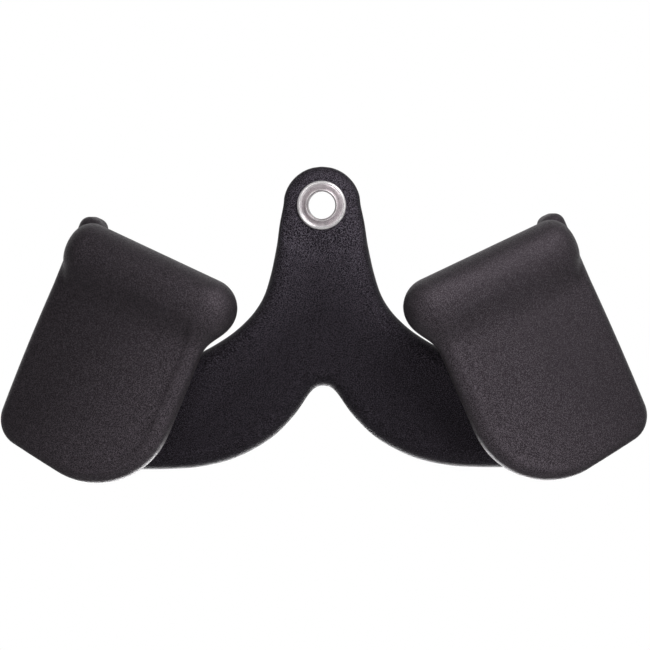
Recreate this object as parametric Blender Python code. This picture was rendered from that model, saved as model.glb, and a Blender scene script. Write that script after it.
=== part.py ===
"""Close-grip cable handle: two palm paddles on a Y-shaped yoke.

A laser-cut steel yoke hangs on a flanged eyelet. Each arm ends behind a paddle, where two
gussets carry a steel palm plate with a ridge tube along its top edge. Black polyurethane is
moulded round the yoke and round each paddle. Front is -Y, the eyelet's hole is the origin.
"""

import bpy
import bmesh
from math import atan2, cos, hypot, pi, radians, sin, sqrt, tan
from mathutils import Vector

# Fits and fineness
FIT_GAP = 0.0003              # between pieces that touch
WELD_TOLERANCE = 0.00001      # points closer than this are one point
ROUND_SEGMENTS = 24           # sides of a turned piece
BEAD_SEGMENTS = 8             # sides of a round weld bead

# Eyelet, turned from stainless steel
EYELET_BORE = 0.0161
EYELET_WALL = 0.0010
LIP_WIDTH = 0.0015            # rolled lip, from the bore outward
LIP_HEIGHT = 0.0026
FLANGE_WIDTH = 0.0048         # from the lip outward
FLANGE_THICKNESS = 0.0016
TROUGH_SHARE = 0.6            # height of the trough, of the flange's thickness
FLANGE_SHOULDER_SHARE = 0.75  # place of the flange's shoulder, from its crown to its edge
WASHER_THICKNESS = 0.0015

# Yoke
TAB_RADIUS = 0.0227
TAB_THICKNESS = 0.0120
YOKE_THICKNESS = 0.0180
SHOULDER_RADIUS = 0.0295      # where the thin tab swells into the thick yoke
SHOULDER_WIDTH = 0.0070
YOKE_RIM_RADIUS = 0.0110
ARM_SPAN = 0.1180             # eyelet to the centre of an arm's round end, sideways
ARM_DROP = 0.1280             # the same, downward
ARM_END_RADIUS = 0.0260
ARM_END_START = radians(100)  # where the straight upper edge meets the round end
CROTCH_DROP = 0.1057          # eyelet to the top of the crotch
ARM_SKIN_SETBACK = 0.0055     # from the round end's centre in to where the yoke's skin stops
YOKE_PLATE_THICKNESS = 0.0080
YOKE_PLATE_INSET = 0.0075     # steel edge to skin edge

# Upper edge: shares of the way from the tab's side out to ARM_SPAN, and of ARM_DROP
NECK_SHARES = (
    (0.023, 0.085), (0.039, 0.170), (0.057, 0.240), (0.078, 0.310), (0.115, 0.400),
    (0.162, 0.465), (0.226, 0.523), (0.325, 0.587), (0.464, 0.651), (0.656, 0.722),
)
# Lower edge: shares of ARM_SPAN, and of the drop from the crotch to the arm's underside
CROTCH_SHARES = (
    (0.000, 0.000), (0.034, 0.016), (0.072, 0.101), (0.144, 0.350), (0.247, 0.604),
    (0.370, 0.792), (0.494, 0.912), (0.639, 0.981), (0.783, 1.000),
)

# Grip skin, seen square to the palm face; its zero is the centre of the ridge's round end
RIDGE_RADIUS = 0.0175
RIDGE_LENGTH = 0.0928         # from the centre of the round end to the outer end
RIDGE_END_RADIUS = 0.0115
PALM_HEIGHT = 0.1194          # from the ridge's axis to the lower edge, along the outer edge
PALM_LEAN = radians(5.7)      # the lower edge falls away from the ridge towards the inner side
PALM_OVERHANG = 0.0080        # how far the palm reaches inward past the round end's centre
PALM_INNER_RADIUS = 0.0480
PALM_OUTER_RADIUS = 0.0160
PALM_FRONT = 0.0145           # palm face in front of the ridge's axis
PALM_THICKNESS = 0.0170
FRONT_ROUND_SHARE = 0.65      # rounding of the palm's edges, of its thickness
BACK_ROUND_SHARE = 0.29
FRONT_BLEND = 0.0040
BACK_BLEND = 0.0110
OUTER_FALL_SHARE = 3.0        # how steeply the palm's height falls outside its outline

# Place of a grip on the centre of its arm's round end
SEAT_ALONG_SHARE = 0.223      # of the ridge's length, outward from the ridge's round end
SEAT_BELOW_SHARE = 0.704      # of the palm's height, below the ridge
GRIP_REACH = 0.0380           # ridge's round end in front of the yoke's middle plane
GRIP_YAW = radians(18.0)      # each palm face looks a little outward
RIDGE_RISE = radians(24.0)    # the ridge climbs outward

# Finger stop at the outer end of each ridge
STOP_OVERHANG = 0.0055        # past the ridge's outer end
STOP_WIDTH = 0.0180
STOP_TOP = 0.0184             # above the ridge's axis
STOP_HEIGHT = 0.0270
STOP_FRONT = 0.0040           # behind the ridge's axis
STOP_DEPTH = 0.0190
STOP_ROUND_SHARE = 0.46       # of its smallest side
STOP_ROUND_STEPS = 3

# Steel inside a grip
TUBE_DIAMETER = 0.0254
TUBE_WALL = 0.0025
TUBE_START_INSET = 0.0155     # from the tip of the ridge's round end
TUBE_END_SETBACK = 0.0110     # from the ridge's outer end
PLUG_HEAD = 0.0020
PLUG_DEPTH = 0.0090
PALM_PLATE_THICKNESS = 0.0050
PALM_PLATE_INSET = 0.0080
PALM_PLATE_TOP_SHARE = 0.6    # of the tube's radius, below the tube's axis
STOP_PLATE_THICKNESS = 0.0045
STOP_PLATE_HUB_RADIUS = 0.0095
STOP_PLATE_TIP_RADIUS = 0.0045
STOP_PLATE_TIP_SET = 0.0090   # from the skin of the stop in to the centre of the plate's tip
GUSSET_THICKNESS = 0.0050
GUSSET_SPACING_SHARE = 0.77   # of the arm end's radius
GUSSET_LENGTH_SHARE = 0.65    # of the arm end's radius
GUSSET_SETBACK = 0.0035       # from the end of the yoke's skin
BEAD_LEG = 0.0028
RIDGE_BEAD_RADIUS = 0.0026

# Block of skin that bridges an arm's end and the palm
BOSS_INSET = 0.0040           # in from the arm's edge
BOSS_SETBACK = 0.0010         # from the start of the skin round the arm's end

# Spacing of the rows of a skin's mesh, from its edge inward
RIM_SHARES = (0.0, 0.008, 0.03, 0.07, 0.12, 0.18, 0.25, 0.33, 0.44, 0.60)
ARM_STRIP_SHARES = (0.0, 0.018, 0.07, 0.16, 0.29, 0.5, 0.71, 0.84, 0.93, 0.982, 1.0)
NECK_STRIP_SHARES = (0.0, 0.03, 0.09, 0.18, 0.3, 0.43, 0.56, 0.69, 0.81, 0.92, 1.0)
CROWDING_SHARE = 1.4          # bunches the stations of the yoke's mesh towards the crotch
NECK_START_SHARE = 0.75       # of the shoulder's radius, where the mesh leaves the hole
CORE_SHARES = (0.30, 0.62, 0.40)   # core of the palm's rings: inner, outer, level
NOTCH_SHARE = 1.6             # of the ridge's radius, where the palm's inner edge begins
DOME_END = radians(232)       # where the ridge's round end meets the palm

TAB_HALF = TAB_THICKNESS / 2
YOKE_HALF = YOKE_THICKNESS / 2
BARREL_RADIUS = EYELET_BORE / 2 + EYELET_WALL
FLANGE_RADIUS = EYELET_BORE / 2 + LIP_WIDTH + FLANGE_WIDTH
TUBE_RADIUS = TUBE_DIAMETER / 2
TUBE_START = TUBE_START_INSET - RIDGE_RADIUS
TUBE_END = RIDGE_LENGTH - TUBE_END_SETBACK
ARM_SKIN_SPAN = ARM_SPAN - ARM_SKIN_SETBACK
ARM_UNDERSIDE = ARM_DROP + ARM_END_RADIUS
PALM_BACK = PALM_THICKNESS - PALM_FRONT
PALM_FRONT_ROUND = PALM_THICKNESS * FRONT_ROUND_SHARE
PALM_BACK_ROUND = PALM_THICKNESS * BACK_ROUND_SHARE
PALM_PLATE_MIDDLE = PALM_FRONT - PALM_THICKNESS / 2
SEAT_ALONG = RIDGE_LENGTH * SEAT_ALONG_SHARE
SEAT_BELOW = PALM_HEIGHT * SEAT_BELOW_SHARE
SEAT_ACROSS = SEAT_ALONG * cos(RIDGE_RISE) + SEAT_BELOW * sin(RIDGE_RISE)
GRIP_SPAN = ARM_SPAN - SEAT_ACROSS * cos(GRIP_YAW) - PALM_PLATE_MIDDLE * sin(GRIP_YAW)
GRIP_DROP = ARM_DROP + SEAT_ALONG * sin(RIDGE_RISE) - SEAT_BELOW * cos(RIDGE_RISE)
GUSSET_INNER_SPAN = ARM_SKIN_SPAN + GUSSET_SETBACK
GUSSET_LENGTH = ARM_END_RADIUS * GUSSET_LENGTH_SHARE
GUSSET_SPACING = ARM_END_RADIUS * GUSSET_SPACING_SHARE


# Scene, objects and finishes

def clear_scene():
    for item in list(bpy.data.objects):
        bpy.data.objects.remove(item, do_unlink=True)


def finish(name, colour, roughness, metallic):
    material = bpy.data.materials.new(name)
    material.use_nodes = True
    shader = material.node_tree.nodes["Principled BSDF"]
    shader.inputs["Base Color"].default_value = (*colour, 1.0)
    shader.inputs["Roughness"].default_value = roughness
    shader.inputs["Metallic"].default_value = metallic
    material.diffuse_color = (*colour, 1.0)
    return material


def skin_finish(name):
    return finish(name, (0.026, 0.022, 0.027), 0.55, 0.0)


def steel_finish(name):
    return finish(name, (0.30, 0.29, 0.28), 0.45, 1.0)


def stainless_finish(name):
    return finish(name, (0.72, 0.72, 0.71), 0.22, 1.0)


def bead_finish(name):
    return finish(name, (0.20, 0.18, 0.17), 0.6, 1.0)


def plug_finish(name):
    return finish(name, (0.05, 0.05, 0.055), 0.6, 0.0)


def add_object(name, form, material=None, parent=None, side=1):
    """Put a form into the scene; side -1 makes the left hand copy."""
    if side < 0:
        bmesh.ops.scale(form, vec=(-1, 1, 1), verts=form.verts)
    bmesh.ops.remove_doubles(form, verts=form.verts, dist=WELD_TOLERANCE)
    bmesh.ops.recalc_face_normals(form, faces=form.faces)
    mesh = bpy.data.meshes.new(name)
    form.to_mesh(mesh)
    form.free()
    mesh.shade_smooth()
    mesh.set_sharp_from_angle(angle=radians(35))
    if material:
        mesh.materials.append(material)
    item = bpy.data.objects.new(name, mesh)
    bpy.context.scene.collection.objects.link(item)
    item.parent = parent
    return item


def add_guide(name, form, group=None, parent=None, side=1):
    """A form that only cuts or joins another: never part of the model itself."""
    item = add_object(name, form, None, parent, side)
    item.hide_render = True
    item.display_type = "WIRE"
    if group:
        group.objects.link(item)
    return item


def combine(item, operation, guide):
    modifier = item.modifiers.new(operation.lower(), "BOOLEAN")
    modifier.operation = operation
    modifier.solver = "EXACT"
    modifier.object = guide


# Outlines, as lists of points in a plane

def between(first, second, share):
    return first + (second - first) * share


def arc(centre, radius, start, end, steps):
    angles = [between(start, end, i / steps) for i in range(steps + 1)]
    return [(centre[0] + radius * cos(a), centre[1] + radius * sin(a)) for a in angles]


def smooth_line(points, steps):
    """A smooth curve through points, with the same number of steps in each stretch."""
    line = []
    for i in range(len(points) - 1):
        p = [Vector(points[min(max(i + k, 0), len(points) - 1)]) for k in (-1, 0, 1, 2)]
        for step in range(steps):
            t = step / steps
            bend = (2 * p[1] + (p[2] - p[0]) * t
                    + (2 * p[0] - 5 * p[1] + 4 * p[2] - p[3]) * t * t
                    + (3 * p[1] - p[0] - 3 * p[2] + p[3]) * t * t * t) / 2
            line.append(tuple(bend))
    line.append(tuple(points[-1]))
    return line


def offset_outline(outline, distance):
    """Move a closed outline, drawn anticlockwise, outward by distance."""
    moved = []
    count = len(outline)
    for i in range(count):
        before, here, after = (Vector(outline[(i + k) % count]) for k in (-1, 0, 1))
        first = (here - before).normalized()
        second = (after - here).normalized()
        normal = Vector((first.y + second.y, -first.x - second.x)).normalized()
        stretch = max(normal.dot(Vector((first.y, -first.x))), cos(radians(60)))
        moved.append(tuple(here + normal * distance / stretch))
    return moved


def hull_of_circles(first, first_radius, second, second_radius, steps):
    """Outline of a belt laid round two circles."""
    apart = hypot(second[0] - first[0], second[1] - first[1])
    heading = atan2(second[1] - first[1], second[0] - first[0])
    shrink = first_radius - second_radius
    lean = atan2(sqrt(apart ** 2 - shrink ** 2), shrink)
    around = arc(second, second_radius, heading - lean, heading + lean, steps)
    return around + arc(first, first_radius, heading + lean, heading + 2 * pi - lean, steps)


def edge_distance(point, lines):
    nearest = None
    here = Vector(point)
    for line in lines:
        for start, end in zip(line, line[1:]):
            along = Vector(end) - Vector(start)
            run = max(along.length_squared, WELD_TOLERANCE ** 2)
            share = (here - Vector(start)).dot(along) / run
            foot = Vector(start) + along * min(max(share, 0.0), 1.0)
            gap = (here - foot).length
            nearest = gap if nearest is None else min(nearest, gap)
    return nearest


def round_over(depth, radius):
    """Rise of a quarter round at a depth in from its edge."""
    inset = radius - min(max(depth, 0.0), radius)
    return sqrt(max(radius ** 2 - inset ** 2, 0.0))


def blended_max(first, second, blend):
    overlap = max(blend - abs(first - second), 0.0) / blend
    return max(first, second) + overlap * overlap * blend / 4


# Solids

def place_at(axis, a, b, along):
    """A point of a plane square to an axis, at a place along that axis."""
    return {"X": (along, a, b), "Y": (a, along, b), "Z": (a, b, along)}[axis]


def prism(outline, low, high, axis="Y", holes=()):
    """Extrude a flat outline from low to high along an axis; low and high may follow the place."""
    low_at = low if callable(low) else lambda a, b: low
    high_at = high if callable(high) else lambda a, b: high
    form = bmesh.new()
    rings = []
    for loop in (outline, *holes):
        lower = [form.verts.new(place_at(axis, a, b, low_at(a, b))) for a, b in loop]
        upper = [form.verts.new(place_at(axis, a, b, high_at(a, b))) for a, b in loop]
        for i in range(len(loop)):
            k = (i + 1) % len(loop)
            form.faces.new((lower[i], lower[k], upper[k], upper[i]))
        rings.append((lower, upper))
    if holes:
        for level in (0, 1):
            edges = []
            for ring in rings:
                points = ring[level]
                edges += [form.edges.get((points[i - 1], points[i])) for i in range(len(points))]
            bmesh.ops.triangle_fill(form, use_beauty=True, edges=edges)
    else:
        form.faces.new(rings[0][0])
        form.faces.new(rings[0][1])
    return form


def turned(profile, axis="X", segments=ROUND_SEGMENTS):
    """Turn a closed profile of (place along the axis, radius) into a ring or a plug."""
    form = bmesh.new()
    rings = []
    for i in range(segments):
        angle = 2 * pi * i / segments
        across, up = cos(angle), sin(angle)
        rings.append([form.verts.new(place_at(axis, r * across, r * up, a)) for a, r in profile])
    count = len(profile)
    for i in range(segments):
        this, following = rings[i], rings[(i + 1) % segments]
        for k in range(count):
            m = (k + 1) % count
            if profile[k][1] == 0 and profile[m][1] == 0:
                continue
            form.faces.new((this[k], this[m], following[m], following[k]))
    bmesh.ops.remove_doubles(form, verts=form.verts, dist=WELD_TOLERANCE)
    bmesh.ops.dissolve_degenerate(form, edges=form.edges, dist=WELD_TOLERANCE)
    return form


def cushion_form(rim, core, front, back):
    """Closed form over a flat rim: rings run in towards a core, on a front and a back face."""
    form = bmesh.new()
    faces_of = []
    for height in (front, back):
        rings = []
        for share in RIM_SHARES:
            spots = [(between(x, cx, share), between(z, cz, share))
                     for (x, z), (cx, cz) in zip(rim, core)]
            rings.append([form.verts.new((x, -height(x, z), z)) for x, z in spots])
        faces_of.append(rings)
    middle = [(a.co.y + b.co.y) / 2 for a, b in zip(faces_of[0][0], faces_of[1][0])]
    for rings in faces_of:
        for vert, y in zip(rings[0], middle):
            vert.co.y = y
        for outer, inner in zip(rings, rings[1:]):
            for i in range(len(outer)):
                form.faces.new((outer[i - 1], outer[i], inner[i], inner[i - 1]))
        form.faces.new(rings[-1])
    return form


# Yoke

def tab_arc():
    return arc((0, 0), TAB_RADIUS, pi / 2, 0, 6)


def arm_end_arc():
    return arc((ARM_SPAN, -ARM_DROP), ARM_END_RADIUS, ARM_END_START, -pi / 2, 12)


def upper_edge():
    """From the top of the tab, down the neck and along the arm to the tip of its end."""
    neck = [(between(TAB_RADIUS, ARM_SPAN, x), -z * ARM_DROP) for x, z in NECK_SHARES]
    half = [p for p in arm_end_arc() if p[1] >= -ARM_DROP]
    return smooth_line(tab_arc() + neck + half, 2)


def lower_edge():
    """From the crotch along the underside of the arm to the tip of its end."""
    under = [(x * ARM_SPAN, -between(CROTCH_DROP, ARM_UNDERSIDE, z)) for x, z in CROTCH_SHARES]
    half = [p for p in reversed(arm_end_arc()) if p[1] <= -ARM_DROP]
    tip = (ARM_SPAN + ARM_END_RADIUS, -ARM_DROP)
    if hypot(half[-1][0] - tip[0], half[-1][1] - tip[1]) > WELD_TOLERANCE:
        half.append(tip)
    return smooth_line(under + half, 2)


def cut_at_span(line, span):
    """The part of an edge that lies inside a span, ended exactly on it."""
    kept = []
    for point in line:
        if point[0] > span and kept:
            before = kept[-1]
            share = (span - before[0]) / (point[0] - before[0])
            kept.append((span, between(before[1], point[1], share)))
            return kept
        kept.append(point)
    return kept


def past_span(line, span):
    """The part of an edge that lies outside a span, begun exactly on it."""
    inside = cut_at_span(line, span)
    rest = [p for p in line if p[0] > span + WELD_TOLERANCE]
    return [inside[-1]] + rest


def spread(line, count, crowding=1.0):
    """Points along a line, evenly spaced or crowded towards its start."""
    lengths = [0.0]
    for start, end in zip(line, line[1:]):
        lengths.append(lengths[-1] + hypot(end[0] - start[0], end[1] - start[1]))
    places = []
    k = 0
    for i in range(count):
        want = lengths[-1] * (i / (count - 1)) ** crowding
        while k < len(line) - 2 and lengths[k + 1] < want:
            k += 1
        share = (want - lengths[k]) / max(lengths[k + 1] - lengths[k], WELD_TOLERANCE)
        share = min(max(share, 0.0), 1.0)
        a, b = line[k], line[k + 1]
        places.append((between(a[0], b[0], share), between(a[1], b[1], share)))
    return places


def yoke_half_thickness(x, z, lines):
    swell = (hypot(x, z) - SHOULDER_RADIUS) / SHOULDER_WIDTH + 0.5
    swell = min(max(swell, 0.0), 1.0)
    swell = swell * swell * (3 - 2 * swell)
    half = between(TAB_HALF, YOKE_HALF, swell)
    return half * round_over(edge_distance((x, z), lines), YOKE_RIM_RADIUS) / YOKE_RIM_RADIUS


def skin_strip(outer, inner, lines, flat_end, hole_count=0, free_from=0, to_tip=False):
    """Front and back faces between two edges, a station at a time, with one flat end."""
    form = bmesh.new()
    sides = {1: [], -1: []}
    last = len(outer) - 1
    for i, (o, n) in enumerate(zip(outer, inner)):
        shares = ARM_STRIP_SHARES if i >= free_from else NECK_STRIP_SHARES
        for sign in (1, -1):
            row = []
            for share in shares:
                x, z = between(o[0], n[0], share), between(o[1], n[1], share)
                on_rim = share == 0 or (share == 1 and i >= free_from) or (to_tip and i == last)
                half = 0.0 if on_rim else yoke_half_thickness(x, z, lines)
                row.append(form.verts.new((x, sign * half, z)))
            sides[sign].append(row)
    rungs = range(len(ARM_STRIP_SHARES) - 1)
    for rows in sides.values():
        for first, second in zip(rows, rows[1:]):
            for k in rungs:
                form.faces.new((first[k], first[k + 1], second[k + 1], second[k]))
    for i in range(hole_count):
        front, back = sides[1], sides[-1]
        form.faces.new((front[i][-1], front[i + 1][-1], back[i + 1][-1], back[i][-1]))
    front, back = sides[1][flat_end], sides[-1][flat_end]
    for k in rungs:
        form.faces.new((front[k], front[k + 1], back[k + 1], back[k]))
    bmesh.ops.remove_doubles(form, verts=form.verts, dist=WELD_TOLERANCE)
    bmesh.ops.dissolve_degenerate(form, edges=form.edges, dist=WELD_TOLERANCE)
    return form


def yoke_free_edges():
    """Both edges of the right half, and a short stretch of the left half beyond the crotch."""
    lower = lower_edge()
    beyond = [(-x, z) for x, z in reversed(lower[1:8])]
    return [upper_edge(), beyond + lower]


def yoke_skin_form():
    """Right half of the yoke's skin, from the middle plane to where the grip's skin begins."""
    hole_radius = BARREL_RADIUS + FIT_GAP
    upper = cut_at_span(upper_edge(), ARM_SKIN_SPAN)
    lower = cut_at_span(lower_edge(), ARM_SKIN_SPAN)
    hole = arc((0, 0), hole_radius, pi / 2, -pi / 2, 10)
    middle = spread([(0, -CROTCH_DROP), (0, -hole_radius)], 11, CROWDING_SHARE)[-2::-1]
    inner = hole + middle + spread(lower, 18, CROWDING_SHARE)[1:]
    neck_level = -SHOULDER_RADIUS * NECK_START_SHARE
    neck_start = next(i for i, p in enumerate(upper) if p[1] < neck_level)
    outer = spread(upper[:neck_start + 1], len(hole))
    rest = spread(upper[neck_start:], len(inner) - len(hole) + 1)[1:]
    crotch = len(hole) + len(middle) - 1
    return skin_strip(outer + rest, inner, yoke_free_edges(), -1, len(hole) - 1, crotch)


def arm_end_skin_form():
    """The lobe of skin round an arm's end, beyond the yoke's own skin."""
    start = ARM_SKIN_SPAN + FIT_GAP
    stations = 8
    outer, inner = [], []
    tip = ARM_SPAN + ARM_END_RADIUS
    upper, lower = upper_edge(), lower_edge()
    for i in range(stations + 1):
        span = between(start, tip, sin(pi / 2 * i / stations))
        outer.append(cut_at_span(upper, span)[-1])
        inner.append(cut_at_span(lower, span)[-1])
    return skin_strip(outer, inner, yoke_free_edges(), 0, to_tip=True)


def yoke_outline(grow):
    """Closed outline of the steel yoke, anticlockwise."""
    right = lower_edge() + list(reversed(upper_edge()))[1:]
    left = [(-x, z) for x, z in reversed(right)][1:-1]
    return offset_outline(right + left, grow - YOKE_PLATE_INSET)


def yoke_plate_form(grow=0.0):
    half = YOKE_PLATE_THICKNESS / 2 + grow
    hole = arc((0, 0), BARREL_RADIUS + FIT_GAP - grow, 0, 2 * pi, ROUND_SEGMENTS)[:-1]
    return prism(yoke_outline(grow), -half, half, holes=(hole,))


def make_yoke():
    add_object("yoke_plate", yoke_plate_form(), steel_finish("yoke_steel"))
    cover = add_object("yoke_cover", yoke_skin_form(), skin_finish("yoke_skin"))
    mirror = cover.modifiers.new("other_half", "MIRROR")
    mirror.use_clip = True
    mirror.merge_threshold = WELD_TOLERANCE
    combine(cover, "DIFFERENCE", add_guide("yoke_plate_room", yoke_plate_form(FIT_GAP)))


# Eyelet

def barrel_form():
    bore = EYELET_BORE / 2
    lip = bore + LIP_WIDTH
    seat = -TAB_HALF - FIT_GAP
    trough = seat - FLANGE_THICKNESS * TROUGH_SHARE
    crown = seat - FLANGE_THICKNESS
    lip_top = seat - LIP_HEIGHT
    lip_side = between(lip_top, trough, 0.5)
    roll_start = TAB_HALF + WASHER_THICKNESS + 2 * FIT_GAP
    roll_back = roll_start + LIP_HEIGHT - FLANGE_THICKNESS * TROUGH_SHARE
    lip_middle = between(bore, lip, 0.5)
    ring_middle = between(lip, FLANGE_RADIUS, 0.5)
    shoulder = between(ring_middle, FLANGE_RADIUS, FLANGE_SHOULDER_SHARE)
    profile = (
        (lip_top, lip_middle), (lip_side, lip), (trough, lip + EYELET_WALL / 2),
        (crown, ring_middle), (between(crown, seat, 0.5), shoulder), (seat, FLANGE_RADIUS),
        (seat, BARREL_RADIUS), (roll_start, BARREL_RADIUS), (roll_start, lip + EYELET_WALL),
        (roll_back, lip_middle), (roll_start, bore), (lip_side, bore),
    )
    return turned(profile, "Y")


def washer_form():
    bore = BARREL_RADIUS + FIT_GAP
    front = TAB_HALF + FIT_GAP
    back = front + WASHER_THICKNESS
    chamfer = EYELET_WALL / 2
    profile = (
        (front, bore), (front, FLANGE_RADIUS), (back - chamfer, FLANGE_RADIUS),
        (back, FLANGE_RADIUS - chamfer), (back, bore),
    )
    return turned(profile, "Y")


def make_eyelet():
    add_object("eyelet_barrel", barrel_form(), stainless_finish("barrel_stainless"))
    add_object("eyelet_washer", washer_form(), stainless_finish("washer_stainless"))


# Grip skin

def ridge_radius_at(x):
    if x < 0:
        return sqrt(max(RIDGE_RADIUS ** 2 - x * x, 0.0))
    beyond = x - (RIDGE_LENGTH - RIDGE_END_RADIUS)
    if beyond > 0:
        rounded = sqrt(max(RIDGE_END_RADIUS ** 2 - beyond ** 2, 0.0))
        return RIDGE_RADIUS - RIDGE_END_RADIUS + rounded
    return RIDGE_RADIUS


def palm_bottom(x):
    return -PALM_HEIGHT - (RIDGE_LENGTH - x) * tan(PALM_LEAN)


def palm_corner(outer_side):
    """Centre and radius of one of the palm's two round lower corners."""
    radius = PALM_OUTER_RADIUS if outer_side else PALM_INNER_RADIUS
    x = RIDGE_LENGTH - radius if outer_side else radius - PALM_OVERHANG
    return x, palm_bottom(x) + radius / cos(PALM_LEAN), radius


def depth_in_palm(x, z):
    """How far a point lies inside the palm's outline, negative outside it."""
    over_bottom = (z - palm_bottom(x)) * cos(PALM_LEAN)
    depth = min(x + PALM_OVERHANG, RIDGE_LENGTH - x, over_bottom, -z)
    for outer_side in (False, True):
        cx, cz, radius = palm_corner(outer_side)
        along = (x - cx) * cos(PALM_LEAN) + (z - cz) * sin(PALM_LEAN)
        if z < cz and (along > 0) == outer_side:
            depth = min(depth, radius - hypot(x - cx, z - cz))
    return depth


def palm_lower_arcs(inset, inner_steps, outer_steps):
    """The two round lower corners of the palm, anticlockwise, moved in by an inset."""
    arcs = []
    level = 1.5 * pi + PALM_LEAN
    for outer_side, start, end, steps in (
        (False, pi, level, inner_steps), (True, level, 2 * pi, outer_steps),
    ):
        cx, cz, radius = palm_corner(outer_side)
        arcs.append(arc((cx, cz), radius - inset, start, end, steps))
    return arcs


def grip_face(x, z, palm, rounding, blend):
    """Height of the skin over the ridge's axis plane on one face."""
    ridge = sqrt(max(ridge_radius_at(x) ** 2 - z * z, 0.0))
    depth = depth_in_palm(x, z)
    side_place = palm - rounding
    if depth < 0:
        slab = side_place + depth * OUTER_FALL_SHARE
    else:
        slab = side_place + round_over(depth, rounding)
    return blended_max(ridge, slab, blend)


def grip_front(x, z):
    return grip_face(x, z, PALM_FRONT, PALM_FRONT_ROUND, FRONT_BLEND)


def grip_back(x, z):
    return -grip_face(x, z, PALM_BACK, PALM_BACK_ROUND, BACK_BLEND)


def grip_rim():
    """Outline of ridge and palm together, anticlockwise from the outer end of the ridge's top."""
    end = RIDGE_END_RADIUS
    top_outer = arc((RIDGE_LENGTH - end, RIDGE_RADIUS - end), end, 0, pi / 2, 4)
    dome = arc((0, 0), RIDGE_RADIUS, pi / 2, DOME_END, 9)
    inner_corner, outer_corner = palm_lower_arcs(0.0, 8, 5)
    notch = (-PALM_OVERHANG, -RIDGE_RADIUS * NOTCH_SHARE)
    top = spread([top_outer[-1], dome[0]], 8)[1:-1]
    inner = spread([notch, inner_corner[0]], 5)[:-1]
    lower = spread([inner_corner[-1], outer_corner[0]], 4)[1:-1]
    outer = spread([outer_corner[-1], top_outer[0]], 9)[1:-1]
    return top_outer + top + dome + inner + inner_corner + lower + outer_corner + outer


def grip_core(rim):
    """The point of the palm's middle that each rim point's ring runs in to."""
    low, high, level = CORE_SHARES
    place = -PALM_HEIGHT * level
    return [(min(max(x, RIDGE_LENGTH * low), RIDGE_LENGTH * high), place) for x, _ in rim]


def grip_body_form():
    rim = grip_rim()
    return cushion_form(rim, grip_core(rim), grip_front, grip_back)


def finger_stop_form():
    """Round-edged block that rises behind the outer end of the ridge."""
    form = bmesh.new()
    bmesh.ops.create_cube(form, size=1.0)
    bmesh.ops.scale(form, vec=(STOP_WIDTH, STOP_DEPTH, STOP_HEIGHT), verts=form.verts)
    along = RIDGE_LENGTH + STOP_OVERHANG - STOP_WIDTH / 2
    middle = (along, STOP_FRONT + STOP_DEPTH / 2, STOP_TOP - STOP_HEIGHT / 2)
    bmesh.ops.translate(form, vec=middle, verts=form.verts)
    rounding = min(STOP_WIDTH, STOP_DEPTH, STOP_HEIGHT) * STOP_ROUND_SHARE
    bmesh.ops.bevel(form, geom=form.edges[:], offset=rounding, segments=STOP_ROUND_STEPS,
                    profile=0.5, affect="EDGES")
    return form


# Steel inside a grip

def tube_form():
    inner = TUBE_RADIUS - TUBE_WALL
    return turned(((TUBE_START, inner), (TUBE_START, TUBE_RADIUS),
                   (TUBE_END, TUBE_RADIUS), (TUBE_END, inner)))


def tube_room_form():
    """Room for the tube and both its plugs: a plain bar as long as the three together."""
    start = TUBE_START - PLUG_HEAD - 2 * FIT_GAP
    end = TUBE_END + PLUG_HEAD + 2 * FIT_GAP
    radius = TUBE_RADIUS + FIT_GAP
    return turned(((start, 0), (start, radius), (end, radius), (end, 0)))


def plug_form(face, outward):
    """Cap that keeps the moulding out of the tube; face is the tube's end, outward its way."""
    spigot = TUBE_RADIUS - TUBE_WALL - FIT_GAP
    under = face + outward * FIT_GAP
    top = under + outward * PLUG_HEAD
    foot = under - outward * PLUG_DEPTH
    return turned(((foot, 0), (foot, spigot), (under, spigot),
                   (under, TUBE_RADIUS), (top, TUBE_RADIUS), (top, 0)))


def palm_plate_form(grow=0.0):
    inset = PALM_PLATE_INSET - grow
    top = -TUBE_RADIUS * PALM_PLATE_TOP_SHARE
    clear_of_bead = -(STOP_PLATE_HUB_RADIUS + BEAD_LEG + RIDGE_BEAD_RADIUS)
    inner_corner, outer_corner = palm_lower_arcs(inset, 7, 4)
    outline = [(RIDGE_LENGTH - inset, clear_of_bead + grow), (TUBE_END + grow, top)]
    outline.append((inset - PALM_OVERHANG, top))
    outline += inner_corner + outer_corner
    half = PALM_PLATE_THICKNESS / 2 + grow
    return prism(outline, -PALM_PLATE_MIDDLE - half, -PALM_PLATE_MIDDLE + half)


def stop_plate_start():
    return TUBE_END + PLUG_HEAD + 2 * FIT_GAP


def stop_plate_form(grow=0.0):
    """Fin on the outer plug's head that stiffens the finger stop."""
    tip = (STOP_FRONT + STOP_DEPTH - STOP_PLATE_TIP_SET, STOP_TOP - STOP_PLATE_TIP_SET)
    hub_radius, tip_radius = STOP_PLATE_HUB_RADIUS + grow, STOP_PLATE_TIP_RADIUS + grow
    outline = hull_of_circles((0, 0), hub_radius, tip, tip_radius, 8)
    start = stop_plate_start()
    return prism(outline, start - grow, start + STOP_PLATE_THICKNESS + grow, "X")


def stop_bead_form(grow=0.0):
    """Ring of weld in the corner between the plug's head and the fin."""
    start = stop_plate_start() - grow
    inner = STOP_PLATE_HUB_RADIUS + FIT_GAP - grow
    leg = BEAD_LEG + 4 * grow
    return turned(((start, inner), (start, inner + leg), (start + leg, inner)))


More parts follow.
